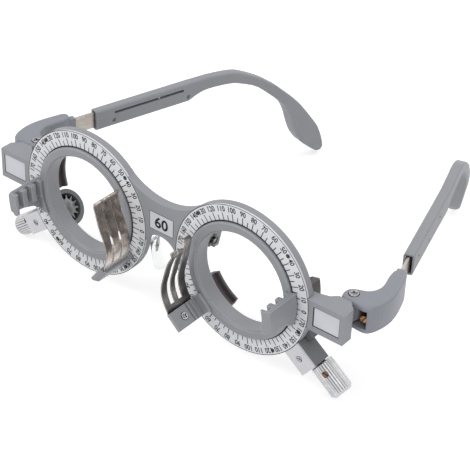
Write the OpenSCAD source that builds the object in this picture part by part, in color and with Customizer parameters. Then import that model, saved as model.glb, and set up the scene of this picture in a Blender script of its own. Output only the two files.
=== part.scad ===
// Optician's trial frame: two lens cells turned by knobs through face gears,
// folding hinges and temples that slide out.
// Origin: midway between the two lens axes, in the plane of the printed scales.
// X runs to the wearer's left, Y runs back to the ears, Z runs up. Millimetres.

/* [Lens cells] */
// Distance between the two lens axes
pupil_distance = 60; // [60:0.5:64]
// Clear hole through each cell
aperture_d = 31.6; // [29:0.2:32]
// Diameter of the trial lenses that the slots take
lens_d = 38; // [37:0.25:38]
// Turn of the wearer's left cell, upwards at the temple
left_turn = 5.5; // [-45:0.5:45]
// Turn of the wearer's right cell, upwards at the temple
right_turn = -6; // [-45:0.5:45]
// Height of the lens comb at its back wall
comb_height = 6.4; // [5.5:0.1:8]

/* [Front] */
// Depth of the rims
rim_depth = 4; // [4:0.1:5]
// Depth of the bridge
bridge_depth = 3; // [2.6:0.1:3.8]
// Height of the hinge lugs
lug_height = 10.2; // [9.6:0.1:11]

/* [Axis drive] */
// Angle of the knob below the horizontal
knob_angle = 37.5; // [32:0.5:45]
// Diameter of the knob
knob_d = 7; // [6:0.1:8]
// Length of the knob
knob_length = 10.5; // [8:0.5:14]
// Number of grooves round the knob
knob_flutes = 26; // [16:1:30]

/* [Temples] */
// Toe-in of each temple
toe_in = 16.3; // [12:0.1:20]
// Height of the temple arm
arm_height = 7.2; // [6.8:0.1:8]
// Width of the temple arm
arm_width = 3.4; // [3.2:0.1:4]
// Thickness of the sliding strip
strip_width = 0.8; // [0.6:0.05:0.9]
// Length added to the ear hook
hook_extra = 0; // [0:1:20]

/* [Nose rest] */
// Height of the soft pads
pad_height = 12.5; // [10:0.5:14]
// Splay of the pads
pad_splay = 16; // [10:1:20]

/* [Hidden] */
$fn = 96;
eps = 0.01;
left = 1;
right = -1;

// colours
grey = [0.57, 0.58, 0.60];
dark_grey = [0.42, 0.42, 0.43];
white = [0.93, 0.93, 0.94];
pale = [0.82, 0.82, 0.86];
steel = [0.66, 0.64, 0.60];
bright = [0.85, 0.85, 0.86];
brass = [0.70, 0.52, 0.30];
clear = [0.90, 0.92, 0.92];

// running clearances
run = 0.1;
gap = 0.3;

// cell and its face gear, radii from the lens axis
bore_r = aperture_d / 2;
lens_r = lens_d / 2;
hub_r = bore_r + 0.45;
nose_r = lens_r - 0.2;
cell_front = 1;
cell_back = -4.6;
flange_r = lens_r + 3;
flange_front = -0.9;
flange_back = -1.4;
crown_teeth = 60;
pinion_teeth = 12;
crown_pitch_r = hub_r + 0.95;
crown_inner_r = hub_r - 0.1;
crown_outer_r = lens_r + 0.4;
tooth_module = 2 * crown_pitch_r / crown_teeth;
pinion_pitch_r = tooth_module * pinion_teeth / 2;
tooth_rise = 0.48;
tooth_depth = 0.72;
tooth_half = 0.355;
tooth_slope = 25;
drive_depth = 5.8;
pitch_plane = pinion_pitch_r - drive_depth;
crown_tip = pitch_plane - tooth_rise;

// rims
rim_r = flange_r + 2.2;
rim_chamfer = 1.2;
scale_r = rim_r - 0.1;
scale_hole_r = nose_r + 0.2;
scale_thick = 0.8;
pocket_back = flange_back - gap;
lip_r = lens_r + 1.1;
pin_angles = [45, 135, 225, 304, 340];
pin_at = flange_r + 0.75;
pin_r = 0.4;
pin_length = 2.2;

// bridge
bridge_top_r = 22;
bridge_under_r = 6.4;
bridge_bite = 0.2;
bridge_root = 0.7;
plate_size = [9, 6.1];
plate_centre = [0.3, 6.05];
plate_thick = 0.5;

// lugs and hinge, X from the lens axis
lug_end = rim_r + 11.9;
lug_depth = 4.3;
lug_swell = 7;
label_size = [9.1, 6.75];
label_centre = [rim_r + 6.05, 0.1];
label_sink = 0.5;
hinge_x = lug_end - 4.6;
hinge_y = 11.1;
knuckle_r = 2.9;
ear_thick = 1.7;
block_top = 4.6;
block_bottom = -4.8;
ear_gap = 0.2;
hinge_pin_r = 0.9;
hinge_head_r = 1.65;

// axis drive, distances along the knob's axis
cup_r = 6;
cup_bore_r = 4.6;
cup_mouth = hub_r + 0.4;
chamber_end = cup_mouth + 3.25;
cup_end = rim_r + 1.4;
pinion_start = cup_mouth + 0.15;
pinion_length = 2.5;
shaft_r = 1.5;
housing_half = 3.25;
housing_start = rim_r - 1.2;
housing_end = rim_r + 8.2;
housing_back = -6.8;
cover_thick = 0.6;
cover_screw_at = rim_r + 3.8;
knob_start = housing_end + 0.4;
knob_blind = 2.5;
set_screw_r = 1;
set_screw_at = knob_start + 3.2;
set_screw_turn = 150;

// front lens slots
slot_pitch = 3.75;
slot_first = 3.1;
slot_mouth = 1.05;
slot_floor = 0.85;
ridge_r = lens_r - 1.7;
comb_out_r = lens_r + 1.5;
comb_end = 12.6;
wall_lap = 0.3;
flare = 4.6;
scale_clear = 0.4;

// clamp block and leaf spring
block_angle = 222;
block_half = 3;
block_in_r = lens_r + 0.5;
block_out_r = block_in_r + 2.3;
block_end = 13.3;
leaf_thick = 0.35;
leaf_lo = 2.3;
leaf_hi = 12.6;
leaf_slot = 0.8;
leaf_screw_at = 8.7;
leaf_screw_r = 0.7;
leaf_head_r = 1.3;
leaf_foot_x = block_in_r + 1.05;
leaf_foot_in = 1.6;
// back of the leaf: how far it stands outside the lens edge, and the angle
leaf_course = [
    [0.3, 145], [0.5, 147], [-0.3, 149], [-0.6, 151.5], [-1, 156], [-1.4, 162],
    [-1.5, 168], [-1.1, 177], [0.2, 188], [1, 197], [1.35, 205], [1.5, 211]
];

// rear lens holders and claw, on the back of the rim
holder_angles = [-2, 227.5];
holder_span = 32;
holder_end = -10.2;
holder_wall = 2;
claw_angle = 168;
claw_half = 2.6;
claw_back = -9.2;
claw_front = -6;

// temple, x outwards and y rearwards from the hinge axis
arm_x = 8.2;
strip_height = 5.6;
strip_start = 9;
strip_end = 52.5;
guide_at = 50.6;
guide_z = 1.35;
arm_start = 26;
arm_end = 62.7;
cover_end = 63.8;
cover_top = 0.9;
slot_from = 33;
slot_to = 60.4;
slot_rise = 0.9;
channel_end = 60.2;
arm_screw_r = 0.45;
arm_head_r = 0.75;
arm_screw_at = [[32.7, -1.3], [62.3, -1.6]];
arm_marks = [[31, 0.6], [42, -1], [53, 0.6]];
stop_x = 4.5;
stop_z = -0.6;
stop_r = 1.1;
stop_head = -3.6;
thread_r = 0.7;
hook_from = 72;
hook_over = 14;

// outline of the hinge block, seen from above
block_course = [
    [-2.2, -2.7], [1.2, -3.6], [4.4, -4.7], [6.6, -4.3], [8.4, -2.2], [9.8, 0.6],
    [10.7, 3.6], [11.1, 7], [11.1, 10], [11, 13], [10.7, 15.6], [9.7, 16.7], [8.3, 16.7],
    [6.9, 15.6], [6.3, 12.5], [6.3, 9.2], [5.9, 6.4], [4.7, 4.4], [2.9, 3.2], [0.4, 2.9],
    [-1.8, 2.2], [-2.9, 0.5], [-3, -1.3]
];

// stations of the ear hook: top, bottom, half width
hook = [
    [[arm_end, 3.6], [arm_end, -3.6], 1.7],
    [[67.5, 3.6], [66.4, -2], 1.7],
    [[72, 3.6], [70.5, -1.15], 1.7],
    [[80.5, 2.9], [79.1, -1.4], 1.75],
    [[86.2, 0.8], [84, -2.6], 1.85],
    [[94.9, -4.6], [91.8, -6.6], 2.1],
    [[105.9, -14.2], [101.4, -16.2], 2.5],
    [[111.2, -19.7], [104.5, -21.6], 2.75],
    [[115.2, -25], [106.4, -27.4], 2.9],
    [[118.3, -30], [108.6, -32.2], 2.9],
    [[120.9, -35], [112, -36.2], 2.8],
    [[122.8, -39.8], [116.4, -39.8], 2.4],
    [[123.2, -42], [119.8, -42.2], 1.5],
    [[122.4, -42.9], [121.2, -42.9], 0.7]
];

// nose rest, places from the lens axis, depth behind the scales
pad_socket_at = [1.2 - rim_r, -5.2];
pad_at = [-24.5, -11.5];
pad_depth = -8;
pad_width = 6.5;
pad_thick = 1.4;
pad_tilt = -14;
wire_r = 0.45;
wire_sink = 1.4;

// functions
function turn_of(side) = side == left ? left_turn : right_turn;
function polar(r, a) = [r * cos(a), r * sin(a)];

// smooth curve through points, a spline through each of them
function spline(p, a, b, c, d, t) =
    0.5 * (2 * p[b] + (p[c] - p[a]) * t
        + (2 * p[a] - 5 * p[b] + 4 * p[c] - p[d]) * t * t
        + (3 * p[b] - p[a] - 3 * p[c] + p[d]) * t * t * t);
function smooth_open(p, steps) = let (n = len(p) - 1) [
    for (i = [0 : n - 1], k = [0 : steps - 1])
        spline(p, max(i - 1, 0), i, i + 1, min(i + 2, n), k / steps),
    p[n]
];
function smooth_closed(p, steps) = let (n = len(p)) [
    for (i = [0 : n - 1], k = [0 : steps - 1])
        spline(p, (i + n - 1) % n, i, (i + 1) % n, (i + 2) % n, k / steps)
];

// points moved square to their curve
function unit(v) = v / norm(v);
function side_step(p, i, d, closed) = let (
    n = len(p),
    a = closed ? (i + n - 1) % n : max(i - 1, 0),
    b = closed ? (i + 1) % n : min(i + 1, n - 1),
    t = unit(p[b] - p[a])
) p[i] + d * [-t[1], t[0]];
function shifted(p, d, closed = false) = [for (i = [0 : len(p) - 1]) side_step(p, i, d, closed)];
function reversed(p) = [for (i = [len(p) - 1 : -1 : 0]) p[i]];

// rectangle with round corners
function round_rect(w, h, r, n = 5) = [
    for (q = [0 : 3], k = [0 : n - 1])
        let (a = 90 * q + 90 * k / (n - 1),
            sx = q == 0 || q == 3 ? 1 : -1,
            sy = q < 2 ? 1 : -1)
        [sx * (w / 2 - r) + r * cos(a), sy * (h / 2 - r) + r * sin(a)]
];

// closed skin over rings that have the same even number of points, from the first
// point of an outline up one side and down the other
module skin(rings) {
    n = len(rings[0]);
    last = (len(rings) - 1) * n;
    rungs = [0 : n / 2 - 2];
    polyhedron(
        points = [for (ring = rings, p = ring) p],
        faces = concat(
            [for (k = rungs)
                each [[k, k + 1, n - 2 - k], [k, n - 2 - k, n - 1 - k]]],
            [for (start = [0 : n : last - n], i = [0 : n - 1])
                let (a = start + i, b = start + (i + 1) % n)
                each [[a, a + n, b + n], [a, b + n, b]]],
            [for (k = rungs)
                each [[last + n - 2 - k, last + k + 1, last + k],
                    [last + n - 1 - k, last + n - 2 - k, last + k]]]
        )
    );
}

// places
// lens axis: x to the temple, y up, z forwards
module lens_side(side) {
    mirror([side == left ? 0 : 1, 0, 0])
    translate([pupil_distance / 2, 0, 0])
    rotate([90, 0, 0])
    children();
}

// the turning cell, its comb at angle 0
module cell_side(side) {
    lens_side(side) rotate([0, 0, turn_of(side)]) children();
}

// knob axis: z outwards along the axis from the lens axis, x rearwards
module drive_axis(u) {
    rotate([0, 0, -knob_angle])
    translate([u, 0, -drive_depth])
    rotate([0, 90, 0])
    children();
}

// temple: x outwards, y rearwards, z up, from the hinge axis
module temple_side(side) {
    mirror([side == left ? 0 : 1, 0, 0])
    translate([pupil_distance / 2 + hinge_x, hinge_y, 0])
    rotate([0, 0, toe_in])
    children();
}

// shared shapes
module cross_recess(size, deep) {
    for (a = [0, 90])
        rotate([0, 0, a])
        translate([-size / 2, -size * 0.14, -deep])
        cube([size, size * 0.28, deep + eps]);
}

module slot_recess(size, deep) {
    translate([-size / 2, -0.16, -deep])
    cube([size, 0.32, deep + eps]);
}

// screw with its head's face at z = 0, its shank downwards
module screw(head_r, head_h, shank_r, length) {
    translate([0, 0, -head_h])
    cylinder(r1 = head_r, r2 = head_r * 0.86, h = head_h, $fn = 48);
    translate([0, 0, -length])
    cylinder(r = shank_r, h = length, $fn = 48);
}

// front frame
module rim_disc() {
    translate([0, 0, rim_chamfer - rim_depth])
    cylinder(r = rim_r, h = rim_depth - rim_chamfer - scale_thick);
    translate([0, 0, -rim_depth])
    cylinder(r1 = rim_r - rim_chamfer, r2 = rim_r, h = rim_chamfer);
}

// web between the rims, its top and its underside rounded into them
module bridge() {
    half = pupil_distance / 2;
    root_r = rim_r - bridge_root;
    top_reach = rim_r + bridge_top_r - bridge_bite;
    under_reach = rim_r + bridge_under_r - bridge_bite;
    top_z = sqrt(pow(top_reach, 2) - half * half);
    under_z = sqrt(pow(under_reach, 2) - half * half);
    top_t = [half, 0] + root_r / top_reach * [-half, top_z];
    under_t = [half, 0] + root_r / under_reach * [-half, -under_z];
    rotate([90, 0, 0])
    translate([0, 0, -bridge_depth])
    linear_extrude(bridge_depth)
    difference() {
        polygon([top_t, [-top_t[0], top_t[1]], [-under_t[0], under_t[1]], under_t]);
        translate([0, top_z]) circle(r = bridge_top_r);
        translate([0, -under_z]) circle(r = bridge_under_r);
    }
}

// lug with a swell behind it and the hinge knuckle
module lug() {
    rotate([-90, 0, 0])
    translate([0, 0, -lug_height / 2])
    linear_extrude(lug_height)
    polygon([
        [rim_r - 3.2, 0], [lug_end, 0], [lug_end, lug_depth],
        [lug_end - 2.6, lug_swell], [rim_r + 5.2, lug_swell], [rim_r + 3.4, lug_depth + 0.9],
        [rim_r + 0.4, lug_depth], [rim_r - 3.2, rim_depth - 0.3]
    ]);
}

module knuckle() {
    bottom = block_bottom + ear_thick + ear_gap;
    top = block_top - ear_thick - ear_gap;
    rotate([-90, 0, 0])
    translate([0, 0, -top])
    difference() {
        union() {
            translate([hinge_x, hinge_y, 0]) cylinder(r = knuckle_r, h = top - bottom, $fn = 64);
            translate([hinge_x - 2.3, lug_swell - 1, 0])
            cube([4.6, hinge_y - lug_swell + 1, top - bottom]);
        }
        translate([hinge_x, hinge_y, -1])
        cylinder(r = hinge_pin_r + run / 2, h = top - bottom + 2, $fn = 48);
    }
}

// seat of the scale, pocket of the cell's flange, way through, holes of the pins
module rim_openings() {
    translate([0, 0, -scale_thick])
    cylinder(r = scale_r + 0.08, h = scale_thick + 2);
    translate([0, 0, pocket_back])
    cylinder(r = flange_r + run, h = 3);
    translate([0, 0, -rim_depth - 1])
    cylinder(r = lip_r, h = rim_depth);
    pins();
}

module pins() {
    for (a = pin_angles)
        rotate([0, 0, a])
        translate([pin_at, 0, -pin_length])
        cylinder(r = pin_r, h = pin_length, $fn = 32);
}

module label_pocket(centre, size, deep) {
    translate([centre[0] - size[0] / 2, centre[1] - size[1] / 2, -deep])
    cube([size[0], size[1], deep + 1]);
}

module front_frame() {
    color(grey)
    difference() {
        union() {
            bridge();
            for (side = [left, right])
                lens_side(side) {
                    rim_disc();
                    lug();
                    knuckle();
                }
        }
        for (side = [left, right])
            lens_side(side) {
                rim_openings();
                label_pocket(label_centre, label_size, label_sink);
                translate([0, 0, -rim_depth]) pad_socket();
            }
        rotate([90, 0, 0]) label_pocket(plate_centre, plate_size, plate_thick);
    }
}

module bridge_plate() {
    color(pale)
    rotate([90, 0, 0])
    translate([plate_centre[0] - plate_size[0] / 2, plate_centre[1] - plate_size[1] / 2, -plate_thick])
    cube([plate_size[0], plate_size[1], plate_thick + 0.05]);
}

module label(side) {
    color(pale)
    lens_side(side)
    translate([label_centre[0] - label_size[0] / 2, label_centre[1] - label_size[1] / 2, -label_sink])
    cube([label_size[0], label_size[1], label_sink - 0.2]);
}

module scale_ring(side) {
    color(white)
    lens_side(side)
    difference() {
        translate([0, 0, -scale_thick]) cylinder(r = scale_r, h = scale_thick);
        translate([0, 0, -scale_thick - 1]) cylinder(r = scale_hole_r, h = scale_thick + 2);
        pins();
    }
}

module scale_pins(side) {
    color(steel)
    lens_side(side) pins();
}

// turning cell
// ring with a thin hub and the flange that runs behind the scale
module cell_ring() {
    chamfer = 0.6;
    edge = 0.3;
    rotate_extrude()
    polygon([
        [bore_r, cell_back + edge], [bore_r, cell_front - chamfer],
        [bore_r + chamfer, cell_front], [nose_r - edge, cell_front],
        [nose_r, cell_front - edge], [nose_r, flange_front],
        [flange_r, flange_front], [flange_r, flange_back],
        [hub_r, flange_back], [hub_r, cell_back], [bore_r + edge / 2, cell_back]
    ]);
}

// one straight-flanked tooth of the face gear, along x, rooted in hub and flange
module crown_tooth() {
    root = flange_back + 0.2;
    slope = tan(tooth_slope);
    root_half = tooth_half + (root - pitch_plane) * slope;
    tip_half = tooth_half - tooth_rise * slope;
    translate([crown_inner_r, 0, 0])
    rotate([90, 0, 90])
    linear_extrude(crown_outer_r - crown_inner_r)
    polygon([[-root_half, root], [-tip_half, crown_tip], [tip_half, crown_tip], [root_half, root]]);
}

// inner face of the comb: crests between the lens slots
function comb_profile(floor_r) = concat(
    [[comb_out_r - wall_lap, scale_clear], [comb_out_r - wall_lap, comb_end],
        [ridge_r + wall_lap, comb_end], [ridge_r, comb_end - wall_lap]],
    [for (k = [2 : -1 : 0])
        let (z = slot_first + k * slot_pitch)
        each [[ridge_r, z + slot_mouth], [floor_r, z + slot_floor],
            [floor_r, z - slot_floor], [ridge_r, z - slot_mouth]]],
    [[ridge_r, cell_front - 0.5], [nose_r, cell_front - 0.5], [nose_r, scale_clear]]
);

module comb() {
    half = comb_height / 2;
    span = 2 * asin(half / comb_out_r);
    ridge_half = half - 0.9;
    floor_r = lens_r + 0.2;
    intersection() {
        rotate([0, 0, -span])
        rotate_extrude(angle = 2 * span)
        polygon(comb_profile(floor_r));
        translate([bore_r, -ridge_half, 0])
        cube([comb_out_r - bore_r, ridge_half + half, comb_end + 1]);
    }
    // plain outer wall, flared into the ring below
    intersection() {
        difference() {
            cylinder(r = comb_out_r, h = comb_end);
            translate([0, 0, -1]) cylinder(r = floor_r + wall_lap, h = comb_end + 2);
        }
        rotate([90, 0, 90])
        linear_extrude(comb_out_r + 1)
        polygon([
            [half + 0.1, scale_clear], [half + 0.1, comb_end - 0.7], [half - 0.5, comb_end - 0.1],
            [-half, comb_end - 0.1], [-half - 0.6, 8], [-half - 1.6, 4.4],
            [1 - half - flare, 1.6], [-half - flare, 1], [-half - flare, scale_clear]
        ]);
    }
    // foot of the flare on the ring
    intersection() {
        difference() {
            cylinder(r = floor_r + wall_lap + 0.2, h = 2);
            translate([0, 0, -1]) cylinder(r = ridge_r + wall_lap, h = 4);
        }
        translate([ridge_r - 2, -half - flare, scale_clear])
        cube([6, half + flare, 1.2]);
    }
    // long front crest with a round end
    front = slot_first + 2 * slot_pitch + slot_mouth;
    translate([ridge_r + 0.95, -ridge_half - 1, front])
    cylinder(r = 0.95, h = comb_end - front, $fn = 32);
    translate([ridge_r, -ridge_half - 1, front])
    cube([comb_out_r - ridge_r - 0.6, ridge_half, comb_end - front]);
}

// block that clamps the leaf spring
module spring_block() {
    arm_top = 2.2;
    rotate([0, 0, block_angle])
    difference() {
        union() {
            translate([block_in_r, -block_half, scale_clear])
            cube([block_out_r - block_in_r, 2 * block_half, block_end - scale_clear]);
            translate([ridge_r - 0.6, -block_half, cell_front - 0.5])
            cube([block_out_r - ridge_r, 2 * block_half, arm_top - cell_front + 0.5]);
        }
        // shallow ribs on the inner face
        for (z = [4.1, 5.7])
            translate([block_in_r - 1, -block_half - 1, z])
            cube([1.4, 2 * block_half + 2, 0.8]);
        // corner cut on the outer face
        translate([block_out_r, 0, block_end])
        rotate([0, 45, 0])
        cube([2, 2 * block_half + 2, 2], center = true);
        // recess and hole for the screw
        translate([block_in_r, 0, leaf_screw_at])
        rotate([0, 90, 0]) {
            translate([0, 0, -1]) cylinder(r = leaf_head_r, h = 1.45, $fn = 48);
            cylinder(r = leaf_screw_r, h = 2, $fn = 48);
        }
    }
}

module cell(side) {
    color(grey)
    cell_side(side)
    difference() {
        union() {
            cell_ring();
            for (k = [0 : crown_teeth - 1])
                rotate([0, 0, k * 360 / crown_teeth]) crown_tooth();
            comb();
            spring_block();
        }
        leaf_foot_slot();
    }
}

// two grooved holders on the back of the rim, for the rear lens
module rear_holders(side) {
    floor_r = lens_r + 0.3;
    outer = floor_r + holder_wall;
    lip_in = lens_r - 1.1;
    color(dark_grey)
    lens_side(side)
    for (a = holder_angles)
        rotate([0, 0, a - holder_span / 2])
        rotate_extrude(angle = holder_span)
        polygon([
            [floor_r, -rim_depth], [lip_in, -rim_depth - 0.4], [lip_in, -rim_depth - 1.1],
            [floor_r, -rim_depth - 1.4], [floor_r, holder_end + 1.4],
            [lip_in + 0.3, holder_end + 1.1], [lip_in, holder_end + 0.8],
            [lip_in + 0.3, holder_end], [outer - 0.4, holder_end],
            [outer, holder_end + 0.4], [outer, -rim_depth]
        ]);
}

// bracket on the back of the rim, with a window for the claw
module claw_window(grow) {
    translate([bore_r - 1.5, -claw_half / 2 - grow, claw_back + 1])
    cube([3.6, claw_half + 2 * grow, 2.2]);
}

module claw_bracket(side) {
    foot = lens_r - 0.4;
    color(grey)
    lens_side(side)
    rotate([0, 0, claw_angle])
    difference() {
        union() {
            translate([foot, -claw_half, claw_back])
            cube([2.7, 2 * claw_half, -rim_depth - claw_back]);
            translate([hub_r, -claw_half, claw_back])
            cube([foot - hub_r + 1, 2 * claw_half, claw_front - claw_back]);
            translate([hub_r - 1, -claw_half, claw_back])
            cube([1.2, 2 * claw_half, 2.2]);
        }
        claw_window(0);
    }
}

module rear_claw(side) {
    inner = bore_r + 0.9;
    color(steel)
    lens_side(side)
    rotate([0, 0, claw_angle])
    union() {
        translate([inner, -claw_half / 2, claw_back + 1])
        cube([bore_r + 2.1 - inner, claw_half, 2.2]);
        translate([inner - 1.2, -claw_half / 4, claw_back + 1.4])
        cube([1.3, claw_half / 2, 1.4]);
    }
}

// leaf spring
function leaf_line() = let (
    curve = smooth_open([for (q = leaf_course) polar(lens_r + q[0], q[1] - block_angle)], 4)
) concat(curve, [[leaf_foot_x, -block_half], [leaf_foot_x, 0], [leaf_foot_x, leaf_foot_in]]);

module leaf_strip(lo, hi) {
    line = leaf_line();
    translate([0, 0, lo])
    linear_extrude(hi - lo)
    polygon(concat(line, reversed(shifted(line, -leaf_thick))));
}

// slot in the block that the foot is pushed into
module leaf_foot_slot() {
    rotate([0, 0, block_angle])
    translate([leaf_foot_x, -block_half - 1, leaf_lo])
    cube([leaf_thick, block_half + 1 + leaf_foot_in, leaf_hi - leaf_lo]);
}

module leaf_spring(side) {
    finger = (leaf_hi - leaf_lo - 2 * leaf_slot) / 3;
    color(steel)
    cell_side(side)
    rotate([0, 0, block_angle])
    difference() {
        leaf_strip(leaf_lo, leaf_hi);
        for (k = [1, 2])
            translate([0, -2 * lens_r, leaf_lo + k * finger + (k - 1) * leaf_slot])
            cube([2 * lens_r, 2 * lens_r - block_half - 1.5, leaf_slot]);
        translate([leaf_foot_x - 1, 0, leaf_screw_at])
        rotate([0, 90, 0])
        cylinder(r = leaf_screw_r, h = 3, $fn = 48);
    }
}

module leaf_screw(side) {
    color(bright)
    cell_side(side)
    rotate([0, 0, block_angle])
    translate([block_in_r - 0.25, 0, leaf_screw_at])
    rotate([0, -90, 0])
    difference() {
        screw(leaf_head_r, 0.7, leaf_screw_r, 2.25);
        rotate([0, 0, 30]) cross_recess(1.6, 0.4);
    }
}

// axis drive
function pinion_turn(side) =
    (0.5 - (knob_angle + turn_of(side)) * crown_teeth / 360) * 360 / pinion_teeth;

module pinion_profile() {
    root_r = pinion_pitch_r - tooth_depth;
    tip_r = pinion_pitch_r + tooth_rise + 0.05;
    root_half = 8.4;
    tip_half = 2.4;
    polygon([
        for (k = [0 : pinion_teeth - 1])
            let (a = k * 360 / pinion_teeth)
            each [polar(root_r, a - root_half), polar(tip_r, a - tip_half),
                polar(tip_r, a + tip_half), polar(root_r, a + root_half)]
    ]);
}

module pinion_shaft(side) {
    color(dark_grey)
    lens_side(side)
    drive_axis(0)
    rotate([0, 0, pinion_turn(side)]) {
        translate([0, 0, pinion_start]) linear_extrude(pinion_length) pinion_profile();
        translate([0, 0, pinion_start])
        cylinder(r = shaft_r, h = knob_start + knob_length - knob_blind - pinion_start, $fn = 48);
    }
}

module gear_housing(side) {
    color(dark_grey)
    lens_side(side)
    difference() {
        union() {
            intersection() {
                drive_axis(cup_mouth) cylinder(r = cup_r, h = cup_end - cup_mouth);
                translate([0, 0, -3 * cup_r - rim_depth]) cylinder(r = 2 * rim_r, h = 3 * cup_r);
            }
            rotate([0, 0, -knob_angle])
            translate([housing_start, -housing_half, housing_back])
            cube([housing_end - housing_start, 2 * housing_half, -housing_back - cover_thick]);
        }
        translate([0, 0, -rim_depth]) cylinder(r = rim_r, h = rim_depth + 1);
        drive_axis(cup_mouth - 1) cylinder(r = cup_bore_r, h = chamber_end - cup_mouth + 1);
        drive_axis(chamber_end - 1)
        cylinder(r = shaft_r + run / 2, h = housing_end - chamber_end + 2, $fn = 48);
        rotate([0, 0, -knob_angle])
        translate([cover_screw_at, 0, -cover_thick - 1.8])
        cylinder(r = thread_r, h = 3, $fn = 48);
    }
}

module housing_cover(side) {
    color(pale)
    lens_side(side)
    difference() {
        rotate([0, 0, -knob_angle])
        translate([housing_start, -housing_half, -cover_thick])
        cube([housing_end - housing_start, 2 * housing_half, cover_thick]);
        translate([0, 0, -cover_thick - 1]) cylinder(r = rim_r, h = cover_thick + 2);
        rotate([0, 0, -knob_angle])
        translate([cover_screw_at, 0, -cover_thick - 1])
        cylinder(r = 1, h = 3, $fn = 48);
    }
}

module cover_screw(side) {
    color(bright)
    lens_side(side)
    rotate([0, 0, -knob_angle])
    translate([cover_screw_at, 0, 0.1])
    difference() {
        screw(1, 0.7, thread_r, 2.4);
        rotate([0, 0, 40]) slot_recess(3, 0.3);
    }
}

module axis_knob(side) {
    bevel = 0.8;
    r = knob_d / 2;
    color(bright)
    lens_side(side)
    drive_axis(knob_start)
    difference() {
        union() {
            cylinder(r1 = r - 0.25, r2 = r, h = 0.25);
            translate([0, 0, 0.25]) cylinder(r = r, h = knob_length - 0.25 - bevel);
            translate([0, 0, knob_length - bevel]) cylinder(r1 = r, r2 = r - bevel, h = bevel);
        }
        translate([0, 0, -1]) cylinder(r = shaft_r, h = knob_length - knob_blind + 1, $fn = 48);
        for (k = [0 : knob_flutes - 1])
            rotate([0, 0, k * 360 / knob_flutes])
            translate([r, 0, -1])
            cylinder(r = 0.26, h = knob_length + 2, $fn = 4);
        set_screw_hole();
    }
}

module set_screw_hole() {
    rotate([0, 0, set_screw_turn])
    translate([shaft_r, 0, set_screw_at - knob_start])
    rotate([0, 90, 0])
    cylinder(r = set_screw_r, h = knob_d, $fn = 32);
}

module set_screw(side) {
    sink = 0.35;
    color(brass)
    lens_side(side)
    drive_axis(knob_start)
    rotate([0, 0, set_screw_turn])
    translate([knob_d / 2 - sink, 0, set_screw_at - knob_start])
    rotate([0, 90, 0])
    difference() {
        translate([0, 0, shaft_r + sink - knob_d / 2])
        cylinder(r = set_screw_r, h = knob_d / 2 - sink - shaft_r, $fn = 32);
        rotate([0, 0, 25]) slot_recess(3, 0.4);
    }
}

// hinge
// block outline at a height, drawn in by some distance
function block_ring(d, z) = [
    for (p = shifted(smooth_closed(block_course, 2), d, true)) [p[0], p[1], z]
];

module hinge_block(side) {
    mouth_lo = block_bottom + ear_thick;
    mouth_hi = block_top - ear_thick;
    color(grey)
    temple_side(side)
    difference() {
        union() {
            skin([
                block_ring(0.5, block_bottom), block_ring(0, block_bottom + 0.5),
                block_ring(0, block_top - 0.8), block_ring(0.25, block_top - 0.25),
                block_ring(0.8, block_top)
            ]);
            // sleeve behind the block, round the strip
            translate([arm_x - strip_width / 2 - 0.7, 15.8, -strip_height / 2 - 0.5])
            cube([strip_width + 1.4, 2.7, strip_height + 1]);
        }
        // mouth between the ears
        translate([0, 0, mouth_lo])
        linear_extrude(mouth_hi - mouth_lo)
        union() {
            circle(r = knuckle_r + gap);
            polygon([
                [-5, -7], [4.9, -7], [6, -3.3], [7.5, -0.8], [8.2, 1.8], [7.4, 3],
                [3, 2.2], [-1, 3.2], [-5, 3]
            ]);
        }
        // screw through the ears, head sunk in the upper one
        translate([0, 0, block_bottom - 1])
        cylinder(r = hinge_pin_r, h = block_top - block_bottom + 2, $fn = 48);
        translate([0, 0, block_top - 0.5]) cylinder(r = hinge_head_r, h = 2, $fn = 48);
        // threaded hole of the stop screw
        translate([stop_x, 0, stop_z])
        rotate([-90, 0, 0])
        cylinder(r = thread_r, h = 7, $fn = 48);
        // slot for the strip
        translate([arm_x - strip_width / 2, strip_start, -strip_height / 2])
        cube([strip_width, 12, strip_height]);
    }
}

module hinge_screw(side) {
    color(bright)
    temple_side(side)
    translate([0, 0, block_top + 0.25])
    difference() {
        screw(hinge_head_r, 0.75, hinge_pin_r, block_top - block_bottom + 0.25);
        rotate([0, 0, 20]) cross_recess(2, 0.45);
    }
}

module stop_screw(side) {
    color(brass)
    temple_side(side)
    translate([stop_x, 0, stop_z])
    rotate([90, 0, 0])
    difference() {
        union() {
            translate([0, 0, -stop_head - 1.2]) cylinder(r = stop_r, h = 1.2, $fn = 48);
            translate([0, 0, -6.5]) cylinder(r = thread_r, h = 6 - stop_head, $fn = 48);
        }
        translate([0, 0, -stop_head]) rotate([0, 0, 60]) slot_recess(3, 0.5);
    }
}

// temple
module strip(side) {
    color(steel)
    temple_side(side) {
        translate([arm_x - strip_width / 2, strip_start, -strip_height / 2])
        cube([strip_width, strip_end - strip_start, strip_height]);
        translate([arm_x - strip_width / 2 + 0.1, guide_at, guide_z])
        rotate([0, -90, 0])
        cylinder(r = 0.33, h = 1.1, $fn = 32);
    }
}

// how far along the hook a point lies, 0 to 1
function hook_share(u) = max(0, min(1, (u - hook_from) / hook_over));

// section of the arm between a top and a bottom point
function arm_ring(top, bottom, half) = let (
    mid = (top + bottom) / 2,
    rise = (top - bottom) / 2,
    tall = norm(top - bottom),
    soft = min(0.9, half * 0.6, tall * 0.3)
) [
    for (q = reversed(round_rect(2 * half, tall, soft)))
        let (at = mid + rise * q[1] * 2 / tall)
        [arm_x + q[0], at[0] + hook_extra * hook_share(at[0]), at[1]]
];

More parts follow.
